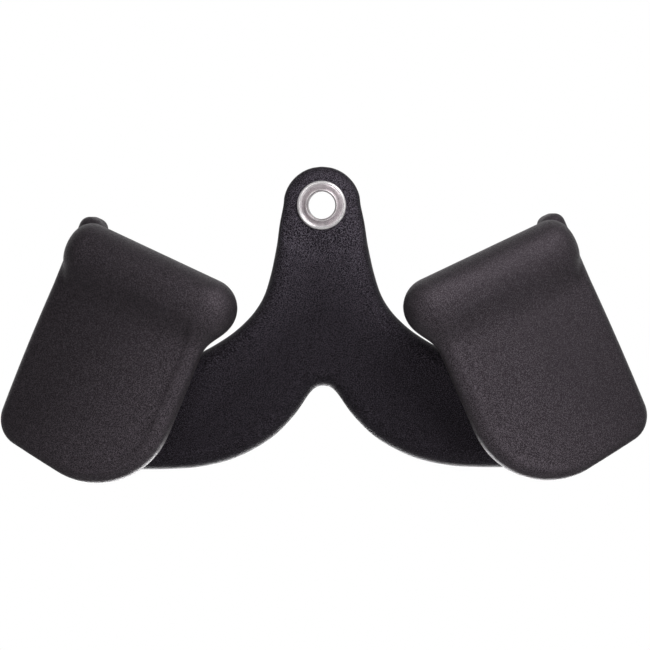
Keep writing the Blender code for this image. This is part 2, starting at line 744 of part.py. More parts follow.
def ridge_bead_form(front, grow=0.0):
    """Weld along the corner where the palm plate meets the tube."""
    side = 1 if front else -1
    off_middle = (PALM_PLATE_THICKNESS + RIDGE_BEAD_RADIUS) / 2
    forward = PALM_PLATE_MIDDLE + side * off_middle
    out = TUBE_RADIUS + RIDGE_BEAD_RADIUS / 2
    drop = sqrt(max(out ** 2 - forward ** 2, 0.0))
    start = TUBE_START + PALM_PLATE_INSET - grow
    end = TUBE_END - PALM_PLATE_INSET + grow
    radius = RIDGE_BEAD_RADIUS + grow
    outline = arc((-forward, -drop), radius, 0, 2 * pi, BEAD_SEGMENTS)[:-1]
    return prism(outline, start, end, "X")


# Steel between an arm and its palm plate, in the yoke's own frame

def palm_plate_back(span):
    """How far back the palm plate's rear face lies at a span, before the fit gap."""
    behind = PALM_PLATE_THICKNESS / 2 - PALM_PLATE_MIDDLE
    along = (span - GRIP_SPAN + behind * sin(GRIP_YAW)) / cos(GRIP_YAW)
    return -GRIP_REACH + along * sin(GRIP_YAW) + behind * cos(GRIP_YAW)


def gusset_level(upper):
    return -ARM_DROP + (GUSSET_SPACING / 2 if upper else -GUSSET_SPACING / 2)


def gusset_form(upper, grow=0.0):
    start = GUSSET_INNER_SPAN - grow
    end = GUSSET_INNER_SPAN + GUSSET_LENGTH + grow
    back = -YOKE_PLATE_THICKNESS / 2 - FIT_GAP + grow
    ahead = FIT_GAP - grow
    outline = [(span, palm_plate_back(span) + ahead) for span in (start, end)]
    outline += [(end, back), (start, back)]
    level = gusset_level(upper)
    half = GUSSET_THICKNESS / 2 + grow
    return prism(outline, level - half, level + half, "Z")


def bead_form(upper, at_palm, grow=0.0):
    """Weld in the corner of a gusset and the plate that it stands on."""
    away = 1 if upper else -1
    level = gusset_level(upper) + away * (GUSSET_THICKNESS / 2 + FIT_GAP - grow)
    leg = BEAD_LEG + 5 * grow
    start = GUSSET_INNER_SPAN + BEAD_LEG - grow
    end = GUSSET_INNER_SPAN + GUSSET_LENGTH - BEAD_LEG + grow
    form = bmesh.new()
    rings = []
    for span in (start, end):
        if at_palm:
            seat = palm_plate_back(span) + 2 * (FIT_GAP - grow)
            rise = leg
        else:
            seat = -YOKE_PLATE_THICKNESS / 2 - FIT_GAP + 2 * grow
            rise = -leg
        corners = ((seat, level), (seat + rise, level), (seat, level + away * leg))
        rings.append([form.verts.new((span, y, z)) for y, z in corners])
    for i in range(3):
        k = (i + 1) % 3
        form.faces.new((rings[0][i], rings[0][k], rings[1][k], rings[1][i]))
    form.faces.new(rings[0])
    form.faces.new(rings[1])
    return form


def palm_middle(x, z):
    """How far back the palm's middle plane lies at a span."""
    along = (x - GRIP_SPAN - PALM_PLATE_MIDDLE * sin(GRIP_YAW)) / cos(GRIP_YAW)
    return -GRIP_REACH + along * sin(GRIP_YAW) - PALM_PLATE_MIDDLE * cos(GRIP_YAW)


def boss_form():
    """Block of skin between an arm's end and the middle of the palm."""
    start = ARM_SKIN_SPAN + FIT_GAP + BOSS_SETBACK - BOSS_INSET
    upper = past_span(upper_edge(), start)
    lower = past_span(lower_edge(), start)
    outline = lower + list(reversed(upper))[1:]
    return prism(offset_outline(outline, -BOSS_INSET), palm_middle, 0.0)


def make_grip(side):
    hand = "right" if side > 0 else "left"
    frame = bpy.data.objects.new(hand + "_grip_frame", None)
    bpy.context.scene.collection.objects.link(frame)
    frame.location = (side * GRIP_SPAN, -GRIP_REACH, -GRIP_DROP)
    frame.rotation_euler = (0, -side * RIDGE_RISE, side * GRIP_YAW)
    rooms = bpy.data.collections.new(hand + "_rooms")
    bpy.context.scene.collection.children.link(rooms)
    rooms.objects.link(bpy.data.objects["yoke_plate_room"])

    def part(name, form, material, parent=frame):
        return add_object(hand + "_" + name, form, material, parent, side)

    def guide(name, form, group=rooms, parent=frame):
        return add_guide(hand + "_" + name, form, group, parent, side)

    part("ridge_tube", tube_form(), steel_finish(hand + "_tube_steel"))
    part("ridge_plug_inner", plug_form(TUBE_START, -1), plug_finish(hand + "_inner_plug"))
    part("ridge_plug_outer", plug_form(TUBE_END, 1), steel_finish(hand + "_outer_plug"))
    tube_room = guide("tube_room", tube_room_form())

    plate = part("palm_plate", palm_plate_form(), steel_finish(hand + "_palm_steel"))
    combine(plate, "DIFFERENCE", tube_room)
    plate_room = guide("palm_plate_room", palm_plate_form(FIT_GAP))

    part("finger_stop_plate", stop_plate_form(), steel_finish(hand + "_stop_steel"))
    stop_room = guide("stop_plate_room", stop_plate_form(FIT_GAP))
    stop_bead = part("finger_stop_bead", stop_bead_form(), bead_finish(hand + "_stop_bead"))
    combine(stop_bead, "DIFFERENCE", stop_room)
    guide("stop_bead_room", stop_bead_form(FIT_GAP))

    for place, front in (("front", True), ("back", False)):
        weld = bead_finish(hand + "_bead_" + place)
        bead = part("ridge_bead_" + place, ridge_bead_form(front), weld)
        combine(bead, "DIFFERENCE", tube_room)
        combine(bead, "DIFFERENCE", plate_room)
        guide("ridge_bead_room_" + place, ridge_bead_form(front, FIT_GAP))

    for place, upper in (("upper", True), ("lower", False)):
        steel = steel_finish(hand + "_gusset_" + place)
        part("gusset_" + place, gusset_form(upper), steel, None)
        guide("gusset_room_" + place, gusset_form(upper, FIT_GAP), rooms, None)
        for end, at_palm in (("arm", False), ("palm", True)):
            name = end + "_bead_" + place
            part(name, bead_form(upper, at_palm), bead_finish(hand + "_" + name), None)
            guide(name + "_room", bead_form(upper, at_palm, FIT_GAP), rooms, None)

    cover = part("grip_cover", grip_body_form(), skin_finish(hand + "_grip_skin"))
    combine(cover, "UNION", guide("finger_stop", finger_stop_form(), None))
    combine(cover, "UNION", guide("boss", boss_form(), None, None))
    combine(cover, "UNION", guide("arm_end_skin", arm_end_skin_form(), None, None))
    for room in rooms.objects:
        combine(cover, "DIFFERENCE", room)


clear_scene()
make_yoke()
make_eyelet()
for grip_side in (-1, 1):
    make_grip(grip_side)
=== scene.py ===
"""Close-grip cable handle, dressed: steel core, moulded black skins, stainless eyelet."""

from math import cos, pi, radians, sin, tan

import bmesh
import bpy
import numpy as np
from mathutils import Matrix, Vector


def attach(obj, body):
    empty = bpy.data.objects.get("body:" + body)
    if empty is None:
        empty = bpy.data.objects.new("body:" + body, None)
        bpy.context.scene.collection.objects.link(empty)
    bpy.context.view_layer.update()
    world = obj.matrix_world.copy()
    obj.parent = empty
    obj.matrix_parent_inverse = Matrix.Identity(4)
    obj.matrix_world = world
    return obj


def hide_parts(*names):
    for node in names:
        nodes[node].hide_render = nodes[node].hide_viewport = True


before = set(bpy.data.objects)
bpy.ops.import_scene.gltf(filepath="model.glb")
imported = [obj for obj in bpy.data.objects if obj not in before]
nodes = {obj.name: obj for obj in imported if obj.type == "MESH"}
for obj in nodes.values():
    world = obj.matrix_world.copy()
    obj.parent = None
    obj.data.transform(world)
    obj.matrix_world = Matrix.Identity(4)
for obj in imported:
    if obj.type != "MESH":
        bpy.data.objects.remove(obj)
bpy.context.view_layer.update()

hands = ("left", "right")


# Yoke plate, palm plates, gussets and finger stop fins: hot-rolled steel plate, laser cut,
# left with its blue-grey mill scale and welded together before any skin is moulded on.

SCALE_COLOURS = ((0.085, 0.083, 0.088), (0.13, 0.125, 0.13))
RUST_COLOUR = (0.19, 0.085, 0.035)
BARE_EDGE_COLOUR = (0.52, 0.50, 0.48)
RUST_SPOTS = 140.0            # per metre
SCALE_PITS = 900.0
SCALE_PIT_DEPTH = 0.0003


def new_finish(name):
    material = bpy.data.materials.new(name)
    material.use_nodes = True
    return material, material.node_tree, material.node_tree.nodes["Principled BSDF"]


def add_node(tree, kind, **settings):
    node = tree.nodes.new("ShaderNode" + kind)
    for key, value in settings.items():
        setattr(node, key, value)
    return node


def calculate(tree, operation, first, second=0.0, third=0.0):
    """One sum: each value is a number or another node's output."""
    node = add_node(tree, "Math", operation=operation)
    for slot, value in zip(node.inputs, (first, second, third)):
        if isinstance(value, (int, float)):
            slot.default_value = value
        else:
            tree.links.new(value, slot)
    return node.outputs[0]


def mix_colours(tree, share, first, second):
    node = add_node(tree, "Mix", data_type="RGBA")
    for name, value in (("Factor", share), ("A", first), ("B", second)):
        slot = next(s for s in node.inputs if s.name == name and s.enabled)
        if isinstance(value, tuple):
            slot.default_value = (*value, 1.0)
        elif isinstance(value, float):
            slot.default_value = value
        else:
            tree.links.new(value, slot)
    return next(s for s in node.outputs if s.enabled)


def ranged(tree, value, low, high, to_low, to_high):
    node = add_node(tree, "MapRange")
    tree.links.new(value, node.inputs["Value"])
    for name, number in (("From Min", low), ("From Max", high),
                         ("To Min", to_low), ("To Max", to_high)):
        node.inputs[name].default_value = number
    return node.outputs["Result"]


def noise(tree, place, scale, detail, roughness=0.5):
    node = add_node(tree, "TexNoise")
    tree.links.new(place, node.inputs["Vector"])
    node.inputs["Detail"].default_value = detail
    node.inputs["Roughness"].default_value = roughness
    if isinstance(scale, (int, float)):
        node.inputs["Scale"].default_value = scale
    else:
        tree.links.new(scale, node.inputs["Scale"])
    return node.outputs["Fac"]


def own_place(tree):
    return add_node(tree, "TexCoord").outputs["Object"]


def new_effect(name, wanted, given):
    """An effect that several finishes share; wanted and given name its inputs and outputs."""
    group = bpy.data.node_groups.new(name, "ShaderNodeTree")
    for socket in wanted:
        group.interface.new_socket(name=socket, in_out="INPUT", socket_type="NodeSocketFloat")
    for socket in given:
        group.interface.new_socket(name=socket, in_out="OUTPUT", socket_type="NodeSocketFloat")
    start, end = group.nodes.new("NodeGroupInput"), group.nodes.new("NodeGroupOutput")
    return group, start, end


def use_effect(tree, group, **values):
    node = add_node(tree, "Group")
    node.node_tree = group
    for name, value in values.items():
        node.inputs[name.replace("_", " ")].default_value = value
    return node


def emboss(tree, shader, height, strength, depth):
    """Raise the surface by height, a value between 0 and 1, as far as depth in metres."""
    bump = add_node(tree, "Bump")
    bump.inputs["Strength"].default_value = strength
    bump.inputs["Distance"].default_value = depth
    tree.links.new(height, bump.inputs["Height"])
    tree.links.new(bump.outputs["Normal"], shader.inputs["Normal"])


# Worn edges: corners that rub are barer and smoother than the faces.
worn_edges, start, end = new_effect("worn edges", ("Reach", "Break up"), ("Mask",))
corner = add_node(worn_edges, "NewGeometry").outputs["Pointiness"]
raised = calculate(worn_edges, "SUBTRACT", corner, 0.5)
ratio = calculate(worn_edges, "DIVIDE", raised, start.outputs["Reach"])
speck = noise(worn_edges, own_place(worn_edges), start.outputs["Break up"], 4.0, 0.6)
broken = calculate(worn_edges, "MULTIPLY", ratio, ranged(worn_edges, speck, 0.35, 0.6, 0.2, 1.0))
clamped = add_node(worn_edges, "Clamp")
worn_edges.links.new(broken, clamped.inputs["Value"])
worn_edges.links.new(clamped.outputs[0], end.inputs["Mask"])

# Mottling: soft patches in the colour and the gloss, a finger's breadth across.
mottling, start, end = new_effect("mottling", ("Patches per metre",), ("Mask",))
patch = noise(mottling, own_place(mottling), start.outputs["Patches per metre"], 3.0, 0.55)
mottling.links.new(ranged(mottling, patch, 0.3, 0.7, 0.0, 1.0), end.inputs["Mask"])

plate_steel, tree, shader = new_finish("hot rolled plate")
patches = use_effect(tree, mottling, Patches_per_metre=60.0).outputs["Mask"]
rust = ranged(tree, noise(tree, own_place(tree), RUST_SPOTS, 6.0, 0.65), 0.58, 0.72, 0.0, 1.0)
bare = use_effect(tree, worn_edges, Reach=0.08, Break_up=300.0).outputs["Mask"]
scale_colour = mix_colours(tree, patches, *SCALE_COLOURS)
rusted = mix_colours(tree, rust, scale_colour, RUST_COLOUR)
tree.links.new(mix_colours(tree, bare, rusted, BARE_EDGE_COLOUR), shader.inputs["Base Color"])
tree.links.new(ranged(tree, patches, 0.0, 1.0, 0.38, 0.6), shader.inputs["Roughness"])
tree.links.new(ranged(tree, rust, 0.0, 1.0, 0.85, 0.1), shader.inputs["Metallic"])
pits = noise(tree, own_place(tree), SCALE_PITS, 5.0, 0.6)
emboss(tree, shader, pits, 0.4, SCALE_PIT_DEPTH)

plates = ["yoke_plate"]
for hand in hands:
    plates += [hand + "_" + name for name in
               ("palm_plate", "gusset_upper", "gusset_lower", "finger_stop_plate")]


def dress(names, material):
    for name in names:
        mesh = nodes[name].data
        mesh.materials.clear()
        mesh.materials.append(material)


dress(plates, plate_steel)


# Ridge tubes: drawn steel tube, cut to length, with long fine draw lines and a film of oil.
# Each outer end is closed by a turned steel cap that carries the finger stop's fin.

TUBE_COLOUR = (0.30, 0.29, 0.285)
OILED_COLOUR = (0.22, 0.205, 0.19)
DRAWN_COLOUR = (0.36, 0.35, 0.34)
TUBE_SLOPE = radians(24.0)
DRAW_LINES = 2600.0           # across the tube, per metre
DRAW_LINE_DEPTH = 0.0001

tube_steel, tree, shader = new_finish("drawn tube")
place = own_place(tree)
stretch = add_node(tree, "Mapping")
stretch.inputs["Rotation"].default_value = (0.0, TUBE_SLOPE, 0.0)
stretch.inputs["Scale"].default_value = (0.02, 1.0, 1.0)
tree.links.new(place, stretch.inputs["Vector"])
lines = noise(tree, stretch.outputs["Vector"], DRAW_LINES, 2.0)
patches = use_effect(tree, mottling, Patches_per_metre=90.0).outputs["Mask"]
oiled = mix_colours(tree, patches, TUBE_COLOUR, OILED_COLOUR)
tree.links.new(mix_colours(tree, lines, oiled, DRAWN_COLOUR), shader.inputs["Base Color"])
tree.links.new(ranged(tree, lines, 0.3, 0.7, 0.3, 0.46), shader.inputs["Roughness"])
shader.inputs["Metallic"].default_value = 1.0
emboss(tree, shader, lines, 0.25, DRAW_LINE_DEPTH)

dress([hand + "_" + name for hand in hands for name in ("ridge_tube", "ridge_plug_outer")],
      tube_steel)


# Inner tube plugs: black moulded plastic caps pressed in by hand.
# They only keep the liquid skin out of the tube while it is cast.

PLUG_COLOURS = ((0.022, 0.022, 0.024), (0.034, 0.034, 0.036))
SCUFF_COLOUR = (0.12, 0.12, 0.12)
PLUG_GRAINS = 2500.0          # per metre
PLUG_GRAIN_DEPTH = 0.0001

plug_plastic, tree, shader = new_finish("plug plastic")
patches = use_effect(tree, mottling, Patches_per_metre=160.0).outputs["Mask"]
scuffed = use_effect(tree, worn_edges, Reach=0.1, Break_up=500.0).outputs["Mask"]
black = mix_colours(tree, patches, *PLUG_COLOURS)
tree.links.new(mix_colours(tree, scuffed, black, SCUFF_COLOUR), shader.inputs["Base Color"])
tree.links.new(ranged(tree, patches, 0.0, 1.0, 0.42, 0.58), shader.inputs["Roughness"])
emboss(tree, shader, noise(tree, own_place(tree), PLUG_GRAINS, 3.0), 0.2, PLUG_GRAIN_DEPTH)

dress([hand + "_ridge_plug_inner" for hand in hands], plug_plastic)


# Weld beads: laid by hand, with the ripples of each pass of the torch across them
# and straw and blue heat tints.

RIPPLES = 420.0               # along a bead, per metre
BANDS_PER_UNIT = 3.0          # of a wave texture's scale
RIPPLE_DEPTH = 0.0004
HEAT_TINTS = ((0.20, 0.20, 0.24), (0.30, 0.23, 0.14))
BRUSHED_COLOUR = (0.5, 0.49, 0.47)

weld_metal, tree, shader = new_finish("weld bead")
ripple = add_node(tree, "TexWave", bands_direction="X")
tree.links.new(own_place(tree), ripple.inputs["Vector"])
ripple.inputs["Scale"].default_value = RIPPLES / BANDS_PER_UNIT
ripple.inputs["Distortion"].default_value = 1.5
ripple.inputs["Detail"].default_value = 2.0
tint = noise(tree, own_place(tree), 260.0, 2.0)
straw = ranged(tree, tint, 0.45, 0.6, 0.0, 1.0)
tinted = mix_colours(tree, straw, *HEAT_TINTS)
bright = use_effect(tree, worn_edges, Reach=0.12, Break_up=600.0).outputs["Mask"]
tree.links.new(mix_colours(tree, bright, tinted, BRUSHED_COLOUR), shader.inputs["Base Color"])
tree.links.new(ranged(tree, ripple.outputs["Fac"], 0.0, 1.0, 0.35, 0.6),
               shader.inputs["Roughness"])
shader.inputs["Metallic"].default_value = 0.9
emboss(tree, shader, ripple.outputs["Fac"], 0.8, RIPPLE_DEPTH)

bead_names = ("ridge_bead_front", "ridge_bead_back", "finger_stop_bead", "arm_bead_upper",
              "arm_bead_lower", "palm_bead_upper", "palm_bead_lower")
dress([hand + "_" + name for hand in hands for name in bead_names], weld_metal)


# Yoke skin: black polyurethane cast round the yoke plate in a sand-textured mould. It is
# thin at the eyelet's tab, swells to a thick pad below it, and ends behind each paddle.

FIT_GAP = 0.0003
EYELET_BORE = 0.0161
EYELET_WALL = 0.0010
TAB_RADIUS = 0.0227
TAB_HALF = 0.0060
YOKE_HALF = 0.0090
SHOULDER_RADIUS = 0.0295      # where the thin tab swells into the thick pad
SHOULDER_WIDTH = 0.0095
YOKE_RIM_RADIUS = 0.0110
ARM_SPAN = 0.1180
ARM_DROP = 0.1280
ARM_END_RADIUS = 0.0260
ARM_END_START = radians(100)
CROTCH_DROP = 0.1057
ARM_SKIN_SPAN = 0.1125
SEAM_BLEND = 0.0030           # soft corner where a cast skin stops
CELL = 0.00125                # spacing of a skin's points
DEPTH_STEP = 0.0005
NECK_SHARES = (
    (0.023, 0.085), (0.039, 0.170), (0.057, 0.240), (0.078, 0.310), (0.115, 0.400),
    (0.162, 0.465), (0.226, 0.523), (0.325, 0.587), (0.464, 0.651), (0.656, 0.722),
)
CROTCH_SHARES = (
    (0.000, 0.000), (0.034, 0.016), (0.072, 0.101), (0.144, 0.350), (0.247, 0.604),
    (0.370, 0.792), (0.494, 0.912), (0.639, 0.981), (0.783, 1.000),
)
YOKE_TINT = (0.92, 0.80, 1.0)
YOKE_DEPTH = 0.58
YOKE_SHINE = 0.16
YOKE_PAINTED_LIGHT_REACH = (0.058, 0.000)  # painted light: how far in and down its front begins and ends to be painted paler
YOKE_PAINTED_LIGHT = 0.60
SKIN_TONES = (0.0004, 0.003)  # the two greys of its mottled ground
FLECK_TONE = 0.092            # single grains in it
PAINTED_LIGHT_TONES = (0.004, 0.180)  # painted light: ground and grains where the front is painted paler as if lit
WORN_TONE = 0.034             # rubbed edges
SKIN_ROUGHNESS = (0.50, 0.58)
GRAIN_GLOSS = -0.16           # what a grain and a rubbed edge add to the roughness
RUBBED_GLOSS = -0.1
PAINTED_LIGHT_FACING = (-0.6, -0.93)  # how far a face looks forward before it is painted lighter
SAND_GRAINS = 2100.0          # per metre
COARSE_GRAINS = 0.37          # their number and weight, as shares of the fine ones'
COARSE_WEIGHT = 0.45
BRIGHT_GRAINS = (0.50, 0.57)  # heights where a grain begins and ends to turn bright
GRAIN_HEIGHT = 0.00026
OUTLINE_MARGIN = 0.006        # of the lattices round the outline and round the skin
SKIN_MARGIN = 0.003
NEAR_CROTCH = 29              # points of the underside that count across the middle


def between(first, second, share):
    return first + (second - first) * share


def smoothstep(value):
    value = np.clip(value, 0.0, 1.0)
    return value * value * (3 - 2 * value)


def arc(centre, radius, first, last, steps):
    angles = [between(first, last, i / steps) for i in range(steps + 1)]
    return [(centre[0] + radius * cos(a), centre[1] + radius * sin(a)) for a in angles]


def smooth_line(points, steps):
    """A smooth curve through points, with the same number of steps in each stretch."""
    line = []
    for i in range(len(points) - 1):
        p = [Vector(points[min(max(i + k, 0), len(points) - 1)]) for k in (-1, 0, 1, 2)]
        for step in range(steps):
            t = step / steps
            bend = (2 * p[1] + (p[2] - p[0]) * t
                    + (2 * p[0] - 5 * p[1] + 4 * p[2] - p[3]) * t * t
                    + (3 * p[1] - p[0] - 3 * p[2] + p[3]) * t * t * t) / 2
            line.append(tuple(bend))
    line.append(tuple(points[-1]))
    return line


def edge_depth(places, line):
    """Distance of each place from a line of points."""
    starts, ends = np.array(line[:-1]), np.array(line[1:])
    along = ends - starts
    run = np.maximum((along ** 2).sum(1), 1e-12)
    share = ((places[:, None, :] - starts) * along).sum(2) / run
    foot = starts + np.clip(share, 0, 1)[..., None] * along
    return np.sqrt(((places[:, None, :] - foot) ** 2).sum(2)).min(1)


# Sand grain: the fine blasted texture of the mould, and the brighter grains in it.
sand_grain, start, end = new_effect("sand grain", ("Grains per metre",), ("Height", "Fleck"))
place = own_place(sand_grain)
fine = noise(sand_grain, place, start.outputs["Grains per metre"], 2.0, 0.6)
coarse_scale = calculate(sand_grain, "MULTIPLY", start.outputs["Grains per metre"], COARSE_GRAINS)
coarse = noise(sand_grain, place, coarse_scale, 2.0)
height = calculate(sand_grain, "MULTIPLY_ADD", coarse, COARSE_WEIGHT, fine)
sand_grain.links.new(height, end.inputs["Height"])
sand_grain.links.new(ranged(sand_grain, fine, *BRIGHT_GRAINS, 0.0, 1.0), end.inputs["Fleck"])


def cast_polyurethane(name, tint, depth, shine, reach, most):
    """Black cast skin with greys scaled by depth; painted light pales its forward-facing front by
    most over reach.
    """
    def tone(value):
        return tuple(part * value for part in tint)

    finish, tree, shader = new_finish(name)
    grain = use_effect(tree, sand_grain, Grains_per_metre=SAND_GRAINS)
    patches = use_effect(tree, mottling, Patches_per_metre=45.0).outputs["Mask"]
    rubbed = use_effect(tree, worn_edges, Reach=0.06, Break_up=220.0).outputs["Mask"]
    parts = add_node(tree, "SeparateXYZ")
    tree.links.new(own_place(tree), parts.inputs[0])
    outward = calculate(tree, "ABSOLUTE", parts.outputs["X"])
    inward = calculate(tree, "MULTIPLY", calculate(tree, "ADD", outward, parts.outputs["Z"]), -1.0)
    facing = add_node(tree, "SeparateXYZ")
    tree.links.new(add_node(tree, "TexCoord").outputs["Normal"], facing.inputs[0])
    # painted light: paler toward the inner and lower parts and where a face looks forward, so side
    # walls keep the darker ground
    to_front = ranged(tree, facing.outputs["Y"], *PAINTED_LIGHT_FACING, 0.0, most)
    painted_light = calculate(tree, "MULTIPLY", ranged(tree, inward, *reach, 0.0, 1.0), to_front)
    ground = mix_colours(tree, patches, *(tone(value * depth) for value in SKIN_TONES))
    flecked = mix_colours(tree, grain.outputs["Fleck"], ground, tone(FLECK_TONE * depth))
    painted_light_colour = mix_colours(tree, grain.outputs["Fleck"], *(tone(value) for value in PAINTED_LIGHT_TONES))
    handled_or_painted_light = mix_colours(tree, painted_light, flecked, painted_light_colour)
    tree.links.new(mix_colours(tree, rubbed, handled_or_painted_light, tone(WORN_TONE)),
                   shader.inputs["Base Color"])
    gloss = ranged(tree, patches, 0.0, 1.0, *SKIN_ROUGHNESS)
    glinting = calculate(tree, "MULTIPLY_ADD", grain.outputs["Fleck"], GRAIN_GLOSS, gloss)
    tree.links.new(calculate(tree, "MULTIPLY_ADD", rubbed, RUBBED_GLOSS, glinting),
                   shader.inputs["Roughness"])
    shader.inputs["Specular IOR Level"].default_value = shine
    shader.inputs["Specular Tint"].default_value = (*tint, 1.0)
    shader.inputs["Sheen Weight"].default_value = 0.04
    shader.inputs["Sheen Roughness"].default_value = 0.4
    emboss(tree, shader, grain.outputs["Height"], 0.9, GRAIN_HEIGHT)
    return finish


# painted light on the yoke skin: paler at the tab, darker down the neck and arms
yoke_finish = cast_polyurethane("yoke polyurethane", YOKE_TINT, YOKE_DEPTH, YOKE_SHINE,
                                YOKE_PAINTED_LIGHT_REACH, YOKE_PAINTED_LIGHT)

tab_quarter = arc((0, 0), TAB_RADIUS, pi / 2, 0, 6)
arm_round = arc((ARM_SPAN, -ARM_DROP), ARM_END_RADIUS, ARM_END_START, -pi / 2, 12)
neck = [(between(TAB_RADIUS, ARM_SPAN, x), -z * ARM_DROP) for x, z in NECK_SHARES]
upper_edge = smooth_line(tab_quarter + neck + [p for p in arm_round if p[1] >= -ARM_DROP], 8)
arm_underside = ARM_DROP + ARM_END_RADIUS
under = [(x * ARM_SPAN, -between(CROTCH_DROP, arm_underside, z)) for x, z in CROTCH_SHARES]
lower_edge = smooth_line(under + [p for p in reversed(arm_round) if p[1] <= -ARM_DROP], 8)
mirrored_under = [(-x, z) for x, z in reversed(lower_edge[1:NEAR_CROTCH])]
outline_across = np.arange(0.0, ARM_SPAN + ARM_END_RADIUS + OUTLINE_MARGIN, DEPTH_STEP)
outline_up = np.arange(-ARM_DROP - ARM_END_RADIUS - OUTLINE_MARGIN,
                       TAB_RADIUS + OUTLINE_MARGIN, DEPTH_STEP)


def signed_depths():
    """Depth inside the yoke's outline on a lattice of its right half, negative outside."""
    loop = np.array(upper_edge + lower_edge[::-1])
    starts, ends = loop[:-1], loop[1:]
    rows = []
    for z in outline_up:
        spots = np.stack([outline_across, np.full(len(outline_across), z)], axis=1)
        depth = np.minimum(edge_depth(spots, upper_edge),
                           edge_depth(spots, mirrored_under + lower_edge))
        crossing = (starts[:, 1] > z) != (ends[:, 1] > z)
        a, b = starts[crossing], ends[crossing]
        over = a[:, 0] + (z - a[:, 1]) / (b[:, 1] - a[:, 1]) * (b[:, 0] - a[:, 0])
        inside = (over > outline_across[:, None]).sum(1) % 2 == 1
        rows.append(np.where(inside, depth, -depth))
    return np.array(rows)


depth_table = signed_depths()


def depth_in_yoke(x, z):
    """Depth inside the outline anywhere, read between the points of the lattice."""
    a = np.clip(np.abs(x) / DEPTH_STEP, 0, len(outline_across) - 1.001)
    b = np.clip((z - outline_up[0]) / DEPTH_STEP, 0, len(outline_up) - 1.001)
    i, k = a.astype(int), b.astype(int)
    s, t = a - i, b - k
    low = between(depth_table[k, i], depth_table[k, i + 1], s)
    return between(low, between(depth_table[k + 1, i], depth_table[k + 1, i + 1], s), t)


def soft_union(first, second, blend):
    overlap = np.maximum(blend - np.abs(first - second), 0) / blend
    return np.minimum(first, second) - overlap ** 2 * blend / 4


def soft_cut(first, second, blend):
    """What lies inside both of two fields, with the corner between them softened."""
    return -soft_union(-first, -second, blend)


def yoke_field(places):
    """Distance from the yoke skin's surface, negative inside."""
    x, y, z = places.T
    inset = np.maximum(YOKE_RIM_RADIUS - depth_in_yoke(x, z), 0) / YOKE_RIM_RADIUS
    swell = smoothstep((np.hypot(x, z) - SHOULDER_RADIUS) / SHOULDER_WIDTH + 0.5)
    half = between(TAB_HALF, YOKE_HALF, swell)
    pad = (np.hypot(inset, y / half) - 1) * half
    hole = EYELET_BORE / 2 + EYELET_WALL + FIT_GAP - np.hypot(x, z)
    return soft_cut(soft_cut(pad, hole, SEAM_BLEND), np.abs(x) - ARM_SKIN_SPAN, SEAM_BLEND)


def field_slope(field, places, step=0.0002):
    slope = np.empty_like(places)
    for k in range(3):
        ahead, behind = places.copy(), places.copy()
        ahead[:, k] += step
        behind[:, k] -= step
        slope[:, k] = (field(ahead) - field(behind)) / (2 * step)
    return slope


def settle(field, places, rounds):
    """Bring points onto a field's surface."""
    for _ in range(rounds):
        slope = field_slope(field, places)
        steep = np.maximum((slope ** 2).sum(1), 0.05)
        places = places - (field(places) / steep)[:, None] * slope
    return places


def even_out(field, places, quads, rounds):
    """Slide points along a field's surface until they are evenly spaced."""
    ends = np.concatenate([quads[:, [k, (k + 1) % 4]] for k in range(4)])
    ends = np.concatenate((ends, ends[:, ::-1]))
    near = np.bincount(ends[:, 0], minlength=len(places))[:, None]
    for _ in range(rounds):
        mean = np.zeros_like(places)
        np.add.at(mean, ends[:, 0], places[ends[:, 1]])
        shift = (mean / near - places) * 0.5
        slope = field_slope(field, places)
        slope /= np.maximum(np.linalg.norm(slope, axis=1), 1e-9)[:, None]
        shift -= (shift * slope).sum(1)[:, None] * slope
        places = settle(field, places + shift, 1)
    return places


def skin_of_field(field, low, high):
    """A closed skin of four-sided faces over the surface of a field."""
    axes = [np.arange(first, last, CELL) for first, last in zip(low, high)]
    shape = tuple(len(axis) for axis in axes)
    lattice = np.stack(np.meshgrid(*axes, indexing="ij"), axis=-1)
    value = field(lattice.reshape(-1, 3)).reshape(shape)
    total, count = np.zeros((value.size, 3)), np.zeros(value.size)
    quads = []
    for k in range(3):
        first = tuple(slice(None, -1) if n == k else slice(None) for n in range(3))
        second = tuple(slice(1, None) if n == k else slice(None) for n in range(3))
        crossed = np.argwhere((value[first] < 0) != (value[second] < 0))
        here = tuple(crossed.T)
        there = tuple(c + 1 if n == k else c for n, c in enumerate(here))
        share = value[here] / (value[here] - value[there])
        spot = lattice[here] + share[:, None] * (lattice[there] - lattice[here])
        around = []
        for a, b in ((0, 0), (1, 0), (1, 1), (0, 1)):
            cell = crossed.copy()
            cell[:, (k + 1) % 3] -= a
            cell[:, (k + 2) % 3] -= b
            around.append(np.ravel_multi_index(tuple(cell.T), shape))
            np.add.at(total, around[-1], spot)
            np.add.at(count, around[-1], 1)
        face = np.stack(around, axis=1)
        quads.append(np.where((value[here] < 0)[:, None], face, face[:, ::-1]))
    used = np.flatnonzero(count)
    renumber = np.full(count.size, -1)
    renumber[used] = np.arange(len(used))
    quads = renumber[np.concatenate(quads)]
    places = settle(field, total[used] / count[used][:, None], 3)
    return even_out(field, places, quads, 4), quads


def skin_piece(name, places, quads, finish):
    mesh = bpy.data.meshes.new(name)
    mesh.from_pydata(places.tolist(), [], quads.tolist())
    mesh.shade_smooth()
    mesh.materials.append(finish)
    piece = bpy.data.objects.new(name, mesh)
    bpy.context.scene.collection.objects.link(piece)
    return piece


yoke_corner = (ARM_SKIN_SPAN + SKIN_MARGIN, YOKE_HALF + SKIN_MARGIN)
yoke_places, yoke_quads = skin_of_field(
    yoke_field, (-yoke_corner[0], -yoke_corner[1], outline_up[0]), (*yoke_corner, outline_up[-1]))
yoke_skin = skin_piece("yoke_skin", yoke_places, yoke_quads, yoke_finish)
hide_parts("yoke_cover")
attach(yoke_skin, "root")


# Grip skins: the same polyurethane cast round ridge tube and palm plate, one paddle a hand.
# The thick roll, the flat palm, the finger stop and the root at the arm run into each other.

